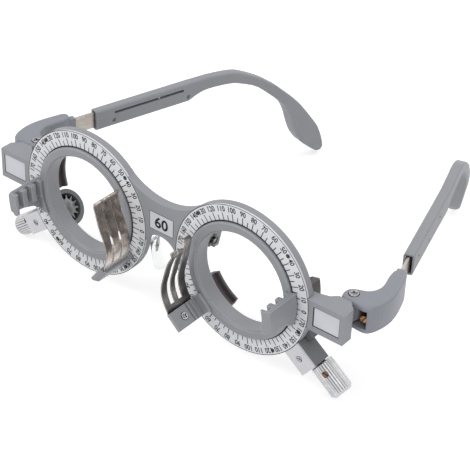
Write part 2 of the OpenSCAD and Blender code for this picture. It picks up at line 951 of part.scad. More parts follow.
// whole arm, straight part and ear hook in one skin
module arm_body() {
    half = arm_height / 2;
    tops = smooth_open([for (h = hook) h[0]], 3);
    bottoms = smooth_open([for (h = hook) h[1]], 3);
    halves = smooth_open([for (h = hook) h[2]], 3);
    skin(concat(
        [arm_ring([arm_start, half], [arm_start, -half], arm_width / 2)],
        [for (i = [0 : len(tops) - 1])
            let (grow = 1 + (half / 3.6 - 1) * max(0, 1 - i / 9))
            arm_ring(
                [tops[i][0], tops[i][1] * grow],
                [bottoms[i][0], bottoms[i][1] * grow],
                halves[i] * arm_width / 3.4)]
    ));
}

module arm(side) {
    inner = arm_x - arm_width / 2;
    seat = arm_x - strip_width / 2 - 0.2;
    half = arm_height / 2;
    color(grey)
    temple_side(side)
    difference() {
        arm_body();
        // channel for the strip, with a wider mouth
        translate([seat, arm_start - 1, -strip_height / 2 - 0.2])
        cube([strip_width + 0.4, channel_end - arm_start + 1, strip_height + 0.4]);
        translate([seat - 0.2, arm_start - 1, -strip_height / 2 - 0.2])
        cube([strip_width + 1.1, 4, strip_height + 0.4]);
        // seat of the cover and the slot above it
        translate([inner - 1, arm_start - 1, -half - 1])
        cube([seat - inner + 1, cover_end - arm_start + 1, half + 1 + cover_top]);
        translate([inner - 1, slot_from, cover_top - eps])
        cube([seat - inner + 1 + eps, slot_to - slot_from, slot_rise]);
        // thread of the rear screw
        translate([inner, arm_screw_at[1][0], arm_screw_at[1][1]])
        rotate([0, 90, 0])
        cylinder(r = arm_screw_r, h = 2.4, $fn = 32);
        // shallow marks on the outer face
        for (q = arm_marks)
            translate([arm_x + arm_width / 2 - 0.2, q[0], q[1]])
            rotate([0, 90, 0])
            cylinder(r = 0.45, h = 1, $fn = 24);
    }
}

module arm_cover(side) {
    inner = arm_x - arm_width / 2;
    seat = arm_x - strip_width / 2 - 0.2;
    half = arm_height / 2;
    color(grey)
    temple_side(side)
    difference() {
        intersection() {
            arm_body();
            translate([inner - 1, arm_start, -half - 1])
            cube([seat - inner + 1, cover_end - arm_start, half + 1 + cover_top]);
        }
        translate([seat - 0.2, arm_start - 1, -strip_height / 2 - 0.2])
        cube([2, 4, strip_height + 0.4]);
        for (q = arm_screw_at)
            translate([inner - 1, q[0], q[1]])
            rotate([0, 90, 0]) {
                cylinder(r = arm_screw_r, h = 4, $fn = 32);
                cylinder(r = arm_head_r, h = 1.4, $fn = 32);
            }
    }
}

module arm_screws(side) {
    inner = arm_x - arm_width / 2;
    lengths = [arm_width / 2 - strip_width / 2 - 0.25, 2.2];
    color(dark_grey)
    temple_side(side)
    for (k = [0, 1])
        translate([inner + 0.05, arm_screw_at[k][0], arm_screw_at[k][1]])
        rotate([0, -90, 0])
        difference() {
            union() {
                translate([0, 0, -0.35]) cylinder(r = arm_head_r, h = 0.35, $fn = 32);
                translate([0, 0, -lengths[k]]) cylinder(r = arm_screw_r, h = lengths[k], $fn = 32);
            }
            rotate([0, 0, 35]) slot_recess(2, 0.2);
        }
}

// nose rest
module pad_socket() {
    translate([pad_socket_at[0], pad_socket_at[1], -1])
    cylinder(r = wire_r, h = 1 + wire_sink, $fn = 32);
}

// bent wire from the rim into the back of a pad
module pad_wire_shape(r) {
    path = [
        [pad_socket_at[0], pad_socket_at[1], wire_sink - rim_depth],
        [pad_socket_at[0], pad_socket_at[1], pad_depth + 1],
        [pad_at[0] + 2.2, pad_at[1], pad_depth]
    ];
    for (k = [0, 1])
        let (d = path[k + 1] - path[k])
        translate(path[k])
        rotate([0, acos(d[2] / norm(d)), atan2(d[1], d[0])])
        cylinder(r = r, h = norm(d), $fn = 24);
    for (k = [1, 2]) translate(path[k]) sphere(r = r + 0.06, $fn = 24);
}

module pad_wire(side) {
    color(dark_grey)
    lens_side(side) pad_wire_shape(wire_r);
}

module nose_pad(side) {
    color(clear)
    lens_side(side)
    difference() {
        translate([pad_at[0] + 1.2, pad_at[1], pad_depth])
        rotate([0, pad_splay, 0])
        rotate([0, 0, pad_tilt])
        rotate([0, 90, 0])
        translate([0, 0, -pad_thick / 2])
        linear_extrude(pad_thick)
        polygon(round_rect(pad_width, pad_height, 3, 7));
        pad_wire_shape(wire_r + 0.03);
    }
}

front_frame();
bridge_plate();
scale_ring(left);  // left_scale
scale_ring(right);  // right_scale
scale_pins(left);  // left_scale_pins
scale_pins(right);  // right_scale_pins
cell(left);  // left_cell
cell(right);  // right_cell
leaf_spring(left);  // left_leaf_spring
leaf_spring(right);  // right_leaf_spring
leaf_screw(left);  // left_leaf_screw
leaf_screw(right);  // right_leaf_screw
rear_holders(left);  // left_rear_holders
rear_holders(right);  // right_rear_holders
claw_bracket(left);  // left_claw_bracket
claw_bracket(right);  // right_claw_bracket
rear_claw(left);  // left_rear_claw
rear_claw(right);  // right_rear_claw
pinion_shaft(left);  // left_pinion_shaft
pinion_shaft(right);  // right_pinion_shaft
gear_housing(left);  // left_gear_housing
gear_housing(right);  // right_gear_housing
housing_cover(left);  // left_housing_cover
housing_cover(right);  // right_housing_cover
cover_screw(left);  // left_cover_screw
cover_screw(right);  // right_cover_screw
axis_knob(left);  // left_axis_knob
axis_knob(right);  // right_axis_knob
set_screw(left);  // left_set_screw
set_screw(right);  // right_set_screw
label(left);  // left_label
label(right);  // right_label
hinge_block(left);  // left_hinge_block
hinge_block(right);  // right_hinge_block
hinge_screw(left);  // left_hinge_screw
hinge_screw(right);  // right_hinge_screw
stop_screw(left);  // left_stop_screw
stop_screw(right);  // right_stop_screw
strip(left);  // left_strip
strip(right);  // right_strip
arm(left);  // left_arm
arm(right);  // right_arm
arm_cover(left);  // left_arm_cover
arm_cover(right);  // right_arm_cover
arm_screws(left);  // left_arm_screws
arm_screws(right);  // right_arm_screws
pad_wire(left);  // left_pad_wire
pad_wire(right);  // right_pad_wire
nose_pad(left);  // left_nose_pad
nose_pad(right);  // right_nose_pad
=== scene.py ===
import math

import bmesh
import bpy
from mathutils import Euler, Matrix, Vector


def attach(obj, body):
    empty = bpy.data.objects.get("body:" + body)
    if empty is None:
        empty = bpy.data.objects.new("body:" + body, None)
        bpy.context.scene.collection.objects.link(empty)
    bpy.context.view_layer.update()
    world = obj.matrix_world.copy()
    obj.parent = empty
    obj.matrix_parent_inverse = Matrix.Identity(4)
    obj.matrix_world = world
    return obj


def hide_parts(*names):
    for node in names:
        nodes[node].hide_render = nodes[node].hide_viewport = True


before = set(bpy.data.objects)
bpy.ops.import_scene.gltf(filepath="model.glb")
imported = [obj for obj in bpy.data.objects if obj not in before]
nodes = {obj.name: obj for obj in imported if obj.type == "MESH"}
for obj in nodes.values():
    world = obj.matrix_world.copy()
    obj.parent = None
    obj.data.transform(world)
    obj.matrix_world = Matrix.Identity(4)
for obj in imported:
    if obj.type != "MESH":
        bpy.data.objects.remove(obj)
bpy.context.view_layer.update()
print("trial frame loaded,", len(nodes), "parts")

mm = 0.001
bothSides = {"left": 1, "right": -1}     # the wearer's left is at +X
halfPupil = 30 * mm


# camera, worked out from the numbers on both scales
camera = {
    "place": (0.251205, -0.293032, 0.270577),
    "turn": (55.216, -1.812, 38.615),
    "lens": 122.22, "sensor": 36, "nearest": 10 * mm,
}
eye = bpy.data.cameras.new("studioCamera")
eye.lens = camera["lens"]
eye.sensor_width = camera["sensor"]
eye.clip_start = camera["nearest"]
eyeObject = bpy.data.objects.new("studioCamera", eye)
eyeObject.location = camera["place"]
eyeObject.rotation_euler = Euler([math.radians(a) for a in camera["turn"]])
bpy.context.scene.collection.objects.link(eyeObject)
bpy.context.scene.camera = eyeObject
bpy.context.scene.view_settings.view_transform = "Standard"
print("camera placed")


# helpers for materials

def srgb(r, g, b):
    def one(c):
        c = c / 255
        return c / 12.92 if c <= 0.04045 else ((c + 0.055) / 1.055) ** 2.4
    return (one(r), one(g), one(b), 1)


def shade(rgba, factor):
    return tuple(min(1, c * factor) for c in rgba[:3]) + (1,)


# how the finishes find the edges that get a painted highlight and the grooves that get painted shade
search = {"samples": 6, "edge": (0.995, 0.86), "groove": (0.25, 0.85)}


class Finish:
    # a material with the few nodes that nearly every finish here uses

    def __init__(self, name):
        self.material = bpy.data.materials.new(name)
        self.material.use_nodes = True
        self.tree = self.material.node_tree
        self.tree.nodes.clear()
        self.out = self.add("ShaderNodeOutputMaterial")
        self.body = self.add("ShaderNodeBsdfPrincipled")
        self.link(self.body.outputs["BSDF"], self.out.inputs["Surface"])
        self.place = self.add("ShaderNodeTexCoord").outputs["Object"]

    def add(self, kind, **values):
        node = self.tree.nodes.new(kind)
        for key, value in values.items():
            setattr(node, key, value)
        return node

    def link(self, a, b):
        self.tree.links.new(a, b)

    def put(self, **values):
        for key, value in values.items():
            self.body.inputs[key.replace("_", " ")].default_value = value

    def stretched(self, scale):
        node = self.add("ShaderNodeMapping")
        node.inputs["Scale"].default_value = scale
        self.link(self.place, node.inputs["Vector"])
        return node.outputs["Vector"]

    def noise(self, scale, detail=4, rough=0.55, vector=None):
        node = self.add("ShaderNodeTexNoise")
        node.inputs["Scale"].default_value = scale
        node.inputs["Detail"].default_value = detail
        node.inputs["Roughness"].default_value = rough
        self.link(vector or self.place, node.inputs["Vector"])
        return node.outputs["Fac"]

    def ranged(self, value, low, high, toLow, toHigh):
        node = self.add("ShaderNodeMapRange")
        node.inputs["From Min"].default_value = low
        node.inputs["From Max"].default_value = high
        node.inputs["To Min"].default_value = toLow
        node.inputs["To Max"].default_value = toHigh
        self.link(value, node.inputs["Value"])
        return node.outputs["Result"]

    def blend(self, factor, a, b):
        node = self.add("ShaderNodeMix", data_type="RGBA")
        self.link(factor, node.inputs["Factor"])
        for socket, value in ((node.inputs[6], a), (node.inputs[7], b)):
            if isinstance(value, tuple):
                socket.default_value = value
            else:
                self.link(value, socket)
        return node.outputs[2]

    def edges(self, radius):
        # 0 on flat faces, rising to 1 along edges, where the finishes paint a highlight
        soft = self.add("ShaderNodeBevel", samples=search["samples"])
        soft.inputs["Radius"].default_value = radius
        flat = self.add("ShaderNodeNewGeometry")
        dot = self.add("ShaderNodeVectorMath", operation="DOT_PRODUCT")
        self.link(soft.outputs["Normal"], dot.inputs[0])
        self.link(flat.outputs["Normal"], dot.inputs[1])
        return self.ranged(dot.outputs["Value"], *search["edge"], 0, 1), soft.outputs["Normal"]

    def paintedGrooveShade(self, reach):
        # 1 out in the open, falling to 0 in grooves and along joints, where the finishes paint shade
        near = self.add("ShaderNodeAmbientOcclusion", samples=search["samples"])
        near.inputs["Distance"].default_value = reach
        return self.ranged(near.outputs["AO"], *search["groove"], 0, 1)

    def facingUp(self, low, high):
        # which way a polished face looks: 0 down to the table, 1 up to the room; it places a painted
        # reflection of the table
        flat = self.add("ShaderNodeNewGeometry")
        axes = self.add("ShaderNodeSeparateXYZ")
        self.link(flat.outputs["Normal"], axes.inputs[0])
        return self.ranged(axes.outputs["Z"], low, high, 0, 1)

    def bump(self, height, distance, strength=1, normal=None):
        node = self.add("ShaderNodeBump")
        node.inputs["Distance"].default_value = distance
        node.inputs["Strength"].default_value = strength
        self.link(height, node.inputs["Height"])
        if normal:
            self.link(normal, node.inputs["Normal"])
        self.link(node.outputs["Normal"], self.body.inputs["Normal"])


# brightness against the plastic's own colour, the painted edge highlight among them, and how far the
# painted shade in its grooves reaches
plastic = {"cloudy": (0.93, 1.07), "speck": 1.3, "highlightLift": 1.5, "grooveShade": 0.3, "grooveShadeReach": 0.7 * mm}


def mouldedPlastic(name, look):
    f = Finish(name)
    cloud = f.noise(look["cloud"], 3)
    grain = f.noise(look["grain"], 3, 0.7)
    highlightMask, soft = f.edges(look["edge"])
    dim, bright = plastic["cloudy"]
    base = f.blend(cloud, shade(look["colour"], dim), shade(look["colour"], bright))
    speck = f.ranged(grain, 0.35, 0.65, 0, look["speckle"])
    base = f.blend(speck, base, shade(look["colour"], plastic["speck"]))
    # painted highlight: edges lighter, standing in for the shine along them
    highlightColour = shade(look["colour"], look.get("highlightLift", plastic["highlightLift"]))
    base = f.blend(f.ranged(highlightMask, 0, 1, 0, look["highlightShare"]), base, highlightColour)
    # painted shade: darker in grooves and along joints, where shade falls
    grooveShadeColour = shade(look["colour"], plastic["grooveShade"])
    base = f.blend(f.paintedGrooveShade(plastic["grooveShadeReach"]), grooveShadeColour, base)
    f.link(base, f.body.inputs["Base Color"])
    rough = f.ranged(grain, 0.3, 0.7, look["rough"] - 0.07, look["rough"] + 0.08)
    f.link(rough, f.body.inputs["Roughness"])
    f.put(Specular_IOR_Level=look["shine"])
    f.bump(grain, look["bump"], 0.6, soft)
    return f.material


# brightness against the metal's dark colour, how much of the painted highlight the rims get, and how far
# the painted shade in grooves reaches
metal = {"streak": 0.7, "rimHighlightShare": 0.6, "paintedShade": 0.25, "paintedShadeReach": 0.5 * mm}


def workedMetal(name, look):
    f = Finish(name)
    streak = f.noise(1, 5, 0.6, f.stretched(look["streak"]))
    cloud = f.noise(look["cloud"], 3)
    highlightMask, soft = f.edges(look["edge"])
    base = f.blend(f.ranged(cloud, 0.3, 0.7, 0, 1), look["dark"], look["light"])
    streaked = shade(look["dark"], metal["streak"])
    base = f.blend(f.ranged(streak, 0.35, 0.7, 0, look["streaks"]), base, streaked)
    # painted reflection: faces turned down take the pale table's colour
    if "tableReflection" in look:
        base = f.blend(f.facingUp(*look["turnOver"]), look["tableReflection"], base)
    # painted highlight: rims lighter, standing in for the shine along them
    base = f.blend(f.ranged(highlightMask, 0, 1, 0, metal["rimHighlightShare"]), base, look["rim"])
    # painted shade: darker in grooves and along joints, where shade falls
    paintedShade = shade(look["dark"], look.get("paintedShade", metal["paintedShade"]))
    base = f.blend(f.paintedGrooveShade(look.get("paintedShadeReach", metal["paintedShadeReach"])), paintedShade, base)
    f.link(base, f.body.inputs["Base Color"])
    rough = f.ranged(streak, 0.3, 0.7, look["rough"] - 0.06, look["rough"] + 0.1)
    f.link(rough, f.body.inputs["Roughness"])
    f.put(Metallic=1.0)
    f.bump(streak, look["bump"], 0.5, soft)
    return f.material


ink = {"patch": 2600, "uneven": (0.7, 1.6), "rough": (0.5, 0.7), "shine": 0.25, "bump": 0.00001}


def inkAndShadowFinish(name, colour):
    f = Finish(name)
    patch = f.noise(ink["patch"], 4, 0.7)
    thin, thick = ink["uneven"]
    f.link(f.blend(patch, shade(colour, thin), shade(colour, thick)), f.body.inputs["Base Color"])
    f.link(f.ranged(patch, 0.3, 0.7, *ink["rough"]), f.body.inputs["Roughness"])
    f.put(Specular_IOR_Level=ink["shine"])
    f.bump(patch, ink["bump"], 0.5)
    return f.material


greyPlastic = mouldedPlastic("greyMouldedPlastic", {
    "colour": srgb(150, 152, 157), "cloud": 90, "grain": 5200, "speckle": 0.16, "edge": 0.00024,
    "highlightShare": 0.6, "rough": 0.5, "shine": 0.35, "bump": 0.000012,
})
blockPlastic = mouldedPlastic("hingeBlockPlastic", {
    "colour": srgb(142, 145, 153), "cloud": 110, "grain": 5200, "speckle": 0.14, "edge": 0.00035,
    "highlightShare": 0.75, "rough": 0.42, "shine": 0.4, "bump": 0.00001,
})
cellPlastic = mouldedPlastic("cellPlastic", {
    "colour": srgb(146, 147, 152), "cloud": 120, "grain": 6200, "speckle": 0.15, "edge": 0.0003,
    "highlightShare": 1, "highlightLift": 2.0, "rough": 0.42, "shine": 0.45, "bump": 0.00001,
})
# painted shade: the housing is the frame's grey plastic, made darker for the shade it stands in
shadedFramePlastic = mouldedPlastic("shadedHousingPlastic", {
    "colour": srgb(118, 119, 122), "cloud": 140, "grain": 5200, "speckle": 0.2, "edge": 0.0002,
    "highlightShare": 0.35, "rough": 0.5, "shine": 0.35, "bump": 0.000014,
})
scaleWhite = mouldedPlastic("scaleWhitePlastic", {
    "colour": srgb(226, 227, 231), "cloud": 100, "grain": 6000, "speckle": 0.05, "edge": 0.0001,
    "highlightShare": 0.1, "rough": 0.4, "shine": 0.4, "bump": 0.000005,
})
labelPale = mouldedPlastic("labelPale", {
    "colour": srgb(212, 212, 219), "cloud": 160, "grain": 4200, "speckle": 0.1, "edge": 0.0001,
    "highlightShare": 0.1, "rough": 0.45, "shine": 0.4, "bump": 0.000008,
})
coverPale = mouldedPlastic("coverPale", {
    "colour": srgb(216, 216, 221), "cloud": 150, "grain": 4200, "speckle": 0.1, "edge": 0.00015,
    "highlightShare": 0.1, "rough": 0.4, "shine": 0.4, "bump": 0.000006,
})
springSteel = workedMetal("springSteel", {
    "dark": srgb(104, 101, 100), "light": srgb(160, 156, 151), "rim": srgb(232, 228, 220), "cloud": 260,
    "streak": (900, 900, 120), "streaks": 0.4, "edge": 0.00014, "rough": 0.3, "bump": 0.000006,
})
# the wearer's right spring shows the face away from its lens: a copy of the spring steel painted lighter
# for the light that face catches, with a painted reflection of a pale table low down
lighterLitSpringSteel = workedMetal("lighterLitSpringSteel", {
    "dark": srgb(128, 118, 110), "light": srgb(206, 195, 184), "rim": srgb(236, 228, 216), "cloud": 420,
    "streak": (1300, 1300, 160), "streaks": 0.55, "edge": 0.00016, "rough": 0.27, "bump": 0.000006,
    "tableReflection": srgb(214, 209, 201), "turnOver": (-0.24, -0.04),
})
springSteels = {"left": springSteel, "right": lighterLitSpringSteel}
stripSteel = workedMetal("stripSteel", {
    "dark": srgb(168, 160, 152), "light": srgb(196, 190, 184), "rim": srgb(225, 220, 214), "cloud": 180,
    "streak": (400, 160, 1500), "streaks": 0.3, "edge": 0.00012, "rough": 0.38, "bump": 0.000006,
})
screwSteel = workedMetal("screwSteel", {
    "dark": srgb(120, 120, 122), "light": srgb(215, 215, 216), "rim": srgb(240, 240, 240), "cloud": 900,
    "streak": (1500, 1500, 1500), "streaks": 0.5, "edge": 0.00012, "rough": 0.24, "bump": 0.000005,
})
knobMetal = workedMetal("knobMetal", {
    "dark": srgb(186, 186, 188), "light": srgb(212, 212, 214), "rim": srgb(238, 238, 238), "cloud": 320,
    "streak": (900, 900, 900), "streaks": 0.2, "edge": 0.0001, "rough": 0.3, "bump": 0.000005,
    # painted shade in the knob's flutes, darker and reaching further
    "paintedShade": 0.12, "paintedShadeReach": 0.8 * mm,
})
dullBrass = workedMetal("dullBrassScrew", {
    "dark": srgb(96, 72, 58), "light": srgb(160, 128, 104), "rim": srgb(205, 180, 150), "cloud": 900,
    "streak": (1800, 1800, 1800), "streaks": 0.5, "edge": 0.0001, "rough": 0.35, "bump": 0.000006,
})
warmBrass = workedMetal("warmBrassScrew", {
    "dark": srgb(120, 82, 48), "light": srgb(196, 150, 96), "rim": srgb(230, 200, 150), "cloud": 700,
    "streak": (1800, 1800, 1800), "streaks": 0.4, "edge": 0.0001, "rough": 0.32, "bump": 0.000006,
})
gearSteel = workedMetal("gearSteel", {
    "dark": srgb(90, 90, 92), "light": srgb(150, 150, 150), "rim": srgb(200, 200, 200), "cloud": 500,
    "streak": (900, 900, 900), "streaks": 0.5, "edge": 0.0001, "rough": 0.36, "bump": 0.000006,
})
holderBrown = mouldedPlastic("rearHolderBrown", {
    "colour": srgb(92, 84, 86), "cloud": 150, "grain": 4200, "speckle": 0.2, "edge": 0.0003,
    "highlightShare": 0.5, "rough": 0.42, "shine": 0.4, "bump": 0.000012,
})
pinSteel = workedMetal("pinSteel", {
    "dark": srgb(52, 52, 56), "light": srgb(92, 92, 96), "rim": srgb(130, 130, 130), "cloud": 900,
    "streak": (1500, 1500, 1500), "streaks": 0.5, "edge": 0.00008, "rough": 0.4, "bump": 0.000005,
})


def clearSilicone(name, look):
    f = Finish(name)
    cloud = f.noise(look["cloud"], 3)
    fine = f.noise(look["fine"], 3)
    f.link(f.blend(cloud, look["tint"], look["milk"]), f.body.inputs["Base Color"])
    f.link(f.ranged(fine, 0.3, 0.7, *look["rough"]), f.body.inputs["Roughness"])
    f.put(Transmission_Weight=look["clear"], IOR=look["index"], Specular_IOR_Level=look["shine"])
    f.bump(fine, look["bump"], 0.5)
    return f.material


padSilicone = clearSilicone("padSilicone", {
    "tint": srgb(250, 251, 250), "milk": srgb(240, 243, 241), "cloud": 200, "fine": 900,
    "clear": 1.0, "index": 1.41, "rough": (0.03, 0.1), "shine": 0.45, "bump": 0.00002,
})
blackInk = inkAndShadowFinish("scaleInk", srgb(26, 26, 30))
shadowLine = inkAndShadowFinish("recessShadow", srgb(44, 44, 48))

finishes = {
    "front_frame": greyPlastic, "bridge_plate": labelPale,
    "scale": scaleWhite, "cell": cellPlastic, "leaf_spring": springSteel, "leaf_screw": screwSteel,
    "scale_pins": pinSteel, "rear_holders": holderBrown, "claw_bracket": greyPlastic,
    "rear_claw": springSteel, "pinion_shaft": gearSteel, "gear_housing": shadedFramePlastic,
    "housing_cover": coverPale, "cover_screw": screwSteel, "axis_knob": knobMetal, "set_screw": dullBrass,
    "label": labelPale, "hinge_block": blockPlastic, "hinge_screw": screwSteel, "stop_screw": warmBrass,
    "strip": stripSteel, "arm": greyPlastic, "arm_cover": greyPlastic, "arm_screws": gearSteel,
    "pad_wire": screwSteel, "nose_pad": padSilicone,
}
for name, part in nodes.items():
    kind = name if name in finishes else name.split("_", 1)[1]
    part.data.materials.clear()
    part.data.materials.append(finishes[kind])
print("finishes on", len(nodes), "parts")


# new pieces and printed figures

def newPiece(name, verts, faces, material, body, smooth=False):
    mesh = bpy.data.meshes.new(name)
    mesh.from_pydata(verts, [], faces)
    mesh.update()
    piece = bpy.data.objects.new(name, mesh)
    bpy.context.scene.collection.objects.link(piece)
    mesh.materials.append(material)
    if smooth:
        mesh.polygons.foreach_set("use_smooth", [True] * len(mesh.polygons))
    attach(piece, body)
    return piece


# height of a figure as a share of the font's size, and steps in each of its curves
font = {"figureShare": 0.73, "curveSteps": 3}


def letterShape(text, height, widen, weight):
    # flat outline of a number, centred on its middle, in its own plane
    curve = bpy.data.curves.new("number", "FONT")
    curve.body = text
    curve.size = height / font["figureShare"]
    curve.align_x = "CENTER"
    curve.align_y = "CENTER"
    curve.offset = weight
    curve.resolution_u = font["curveSteps"]
    holder = bpy.data.objects.new("number", curve)
    bpy.context.scene.collection.objects.link(holder)
    bpy.context.view_layer.update()
    mesh = holder.to_mesh()
    xs = [v.co.x for v in mesh.vertices]
    ys = [v.co.y for v in mesh.vertices]
    midX, midY = (min(xs) + max(xs)) / 2, (min(ys) + max(ys)) / 2
    verts = [((v.co.x - midX) * widen, v.co.y - midY) for v in mesh.vertices]
    faces = [tuple(p.vertices) for p in mesh.polygons]
    holder.to_mesh_clear()
    bpy.data.objects.remove(holder)
    bpy.data.curves.remove(curve)
    return verts, faces


# ticks and numbers of the scales, and painted shade round the pins in their countersinks
scalePrintAndShade = {
    "lift": 0.02 * mm, "tickStep": 5, "tickFrom": 19.05 * mm, "tickWidth": 0.26 * mm,
    "longStep": 10, "longTo": 21.5 * mm, "shortTo": 20.8 * mm,
    "numberAt": 22.68 * mm, "figures": {"height": 1.75 * mm, "widen": 0.84, "weight": 0.05 * mm},
    "pins": (45, 135, 225, 304, 340), "pinsAt": 22.75 * mm,
    "sink": (0.42 * mm, 0.68 * mm), "sinkLift": 0.03 * mm, "sinkSteps": 20,
}


def onFront(x, z, lift):
    return (x, -lift, z)


def tickMarks(verts, faces, sign):
    for angle in range(0, 360, scalePrintAndShade["tickStep"]):
        a = math.radians(angle)
        to = scalePrintAndShade["longTo"] if angle % scalePrintAndShade["longStep"] == 0 else scalePrintAndShade["shortTo"]
        along = Vector((math.cos(a), math.sin(a)))
        across = Vector((-along.y, along.x)) * scalePrintAndShade["tickWidth"] / 2
        ring = [along * scalePrintAndShade["tickFrom"] - across, along * to - across,
                along * to + across, along * scalePrintAndShade["tickFrom"] + across]
        start = len(verts)
        verts += [onFront(sign * halfPupil + p.x, p.y, scalePrintAndShade["lift"]) for p in ring]
        faces.append((start, start + 1, start + 2, start + 3))


def scaleNumbers(verts, faces, sign):
    # 0 to 170 counted twice round the scale, heads outward
    for number in range(0, 180, scalePrintAndShade["longStep"]):
        shape, polys = letterShape(str(number), **scalePrintAndShade["figures"])
        for half in (0, 180):
            a = math.radians(number + half)
            start = len(verts)
            for x, y in shape:
                r = scalePrintAndShade["numberAt"] + y
                verts.append(onFront(sign * halfPupil + r * math.cos(a) + x * math.sin(a),
                                     r * math.sin(a) - x * math.cos(a), scalePrintAndShade["lift"]))
            faces += [tuple(start + i for i in p) for p in polys]


def pinCountersinkShade(verts, faces, sign):
    # painted shade: dark rings round the pins, where their countersinks lie in shade
    steps = scalePrintAndShade["sinkSteps"]
    for angle in scalePrintAndShade["pins"]:
        a = math.radians(angle)
        x, z = scalePrintAndShade["pinsAt"] * math.cos(a), scalePrintAndShade["pinsAt"] * math.sin(a)
        start = len(verts)
        for k in range(steps):
            t = 2 * math.pi * k / steps
            for r in scalePrintAndShade["sink"]:
                verts.append(onFront(sign * (halfPupil + x) + r * math.cos(t),
                                     z + r * math.sin(t), scalePrintAndShade["sinkLift"]))
        for k in range(steps):
            this, following = start + 2 * k, start + 2 * ((k + 1) % steps)
            faces.append((this, this + 1, following + 1, following))


for side, sign in bothSides.items():
    verts, faces = [], []
    tickMarks(verts, faces, sign)
    scaleNumbers(verts, faces, sign)
    pinCountersinkShade(verts, faces, sign)
    newPiece(side + "_scale_print_and_pin_shade", verts, faces, blackInk, "front")

plate = {
    "at": (0.3 * mm, 6.05 * mm), "size": (9.1 * mm, 6.2 * mm), "lift": 0.07 * mm,
    "figures": {"height": 3.7 * mm, "widen": 1.02, "weight": 0.13 * mm},
    "shadowWidths": (0.14 * mm, 0.12 * mm, 0.16 * mm, 0.12 * mm), "shadowLift": 0.055 * mm,
}
shape, polys = letterShape("60", **plate["figures"])
plateX, plateZ = plate["at"]
figures = [onFront(plateX + x, plateZ + y, plate["lift"]) for x, y in shape]
newPiece("plate_number", figures, polys, blackInk, "front")
print("scales printed")


# painted shadow lines round the scales and along the edges of the sunk labels and the plate, where shade
# falls in their gaps

gapShadows = {
    "rim": (24.0 * mm, 24.2 * mm), "bore": (19.0 * mm, 19.2 * mm), "lift": 0.02 * mm, "steps": 144,
    "labelAt": (60.25 * mm, 0.1 * mm), "labelSize": (9.1 * mm, 6.75 * mm), "labelLift": -0.19 * mm,
    "left_label": (0.34 * mm, 0.22 * mm, 0.26 * mm, 0.26 * mm),
    "right_label": (0.1 * mm, 0.34 * mm, 0.14 * mm, 0.14 * mm),
}


# painted shadow: a thin dark ring where the scale's edge meets the frame
def ringShadow(name, sign, inner, outer):
    verts, faces = [], []
    steps = gapShadows["steps"]
    for i in range(steps):
        a = 2 * math.pi * i / steps
        for r in (inner, outer):
            verts.append(onFront(sign * halfPupil + r * math.cos(a), r * math.sin(a), gapShadows["lift"]))
    for i in range(steps):
        a, b = 2 * i, 2 * ((i + 1) % steps)
        faces.append((a, a + 1, b + 1, b))
    newPiece(name, verts, faces, shadowLine, "front")


def frameShadow(name, centre, size, widths, lift):
    # thin painted shadow frame round a plate, with its own width at left, right, bottom and top
    x, z = centre
    w, h = size[0] / 2, size[1] / 2
    left, right, low, top = widths
    outer = [(x - w, z - h), (x + w, z - h), (x + w, z + h), (x - w, z + h)]
    inner = [(x - w + left, z - h + low), (x + w - right, z - h + low),
             (x + w - right, z + h - top), (x - w + left, z + h - top)]
    verts = [onFront(cornerX, cornerZ, lift) for cornerX, cornerZ in outer + inner]
    faces = [(i, (i + 1) % 4, 4 + (i + 1) % 4, 4 + i) for i in range(4)]
    newPiece(name, verts, faces, shadowLine, "front")


for side, sign in bothSides.items():
    ringShadow(side + "_scale_rim_shadow", sign, *gapShadows["rim"])
    ringShadow(side + "_scale_bore_shadow", sign, *gapShadows["bore"])
    labelX, labelZ = gapShadows["labelAt"]
    frameShadow(side + "_label_shadow", (sign * labelX, labelZ), gapShadows["labelSize"],
             gapShadows[side + "_label"], gapShadows["labelLift"])
frameShadow("plate_shadow", plate["at"], plate["size"], plate["shadowWidths"], plate["shadowLift"])
print("joints darkened")


# nose pads: soft clear pillows

pad = {
    "at": (-23.3, -11.5, -8.0), "splay": 16, "tilt": -14,
    "width": 6.5, "height": 12.5, "thick": 1.4, "round": 3.0, "crown": 0.25,
    "rings": 12, "smallest": 0.15, "swell": 0.55, "cornerSteps": 8,
}


def padPlace(u, v, w, sign):
    # pad's own width, height and thickness to the frame
    splay = Matrix.Rotation(math.radians(pad["splay"]), 4, "Y")
    tilt = Matrix.Rotation(math.radians(pad["tilt"]), 4, "Z")
    p = splay @ tilt @ Vector((w, v, -u)) + Vector(pad["at"])
    return (sign * (halfPupil + p.x * mm), -p.z * mm, p.y * mm)


def padOutline(width, height, corner):
    points = []
    steps = pad["cornerSteps"]
    for quarter, (sx, sy) in enumerate(((1, 1), (-1, 1), (-1, -1), (1, -1))):
        for k in range(steps):
            a = math.radians(90 * quarter + 90 * k / (steps - 1))
            points.append((sx * (width / 2 - corner) + corner * math.cos(a),
                           sy * (height / 2 - corner) + corner * math.sin(a)))
    return points


def softPad(side, sign):
    # rounded slab: rings from the middle of one face over the edge to the other
    width, height, crown = pad["width"], pad["height"], pad["crown"]
    verts, faces = [], []
    for ring in range(pad["rings"] + 1):
        a = math.pi * ring / pad["rings"]
        swell = math.sin(a) ** pad["swell"]
        grow = pad["smallest"] + (1 - pad["smallest"]) * swell
        w = -math.cos(a) * pad["thick"] / 2 * (1 - crown * swell)
        outline = padOutline(width * grow, height * (1 - (1 - grow) * width / height), pad["round"] * grow)
        verts += [padPlace(u, v, w, sign) for u, v in outline]
    n = len(outline)
    for ring in range(pad["rings"]):
        for i in range(n):
            a, b = ring * n + i, ring * n + (i + 1) % n
            faces.append((a, b, b + n, a + n))
    faces.append(tuple(reversed(range(n))))
    faces.append(tuple(range(len(verts) - n, len(verts))))
    soft = newPiece(side + "_soft_pad", verts, faces, padSilicone, "front", smooth=True)
    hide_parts(side + "_nose_pad")


for side, sign in bothSides.items():
    softPad(side, sign)
print("nose pads made")


# leaf springs: three fingers with rolled tips on one foot

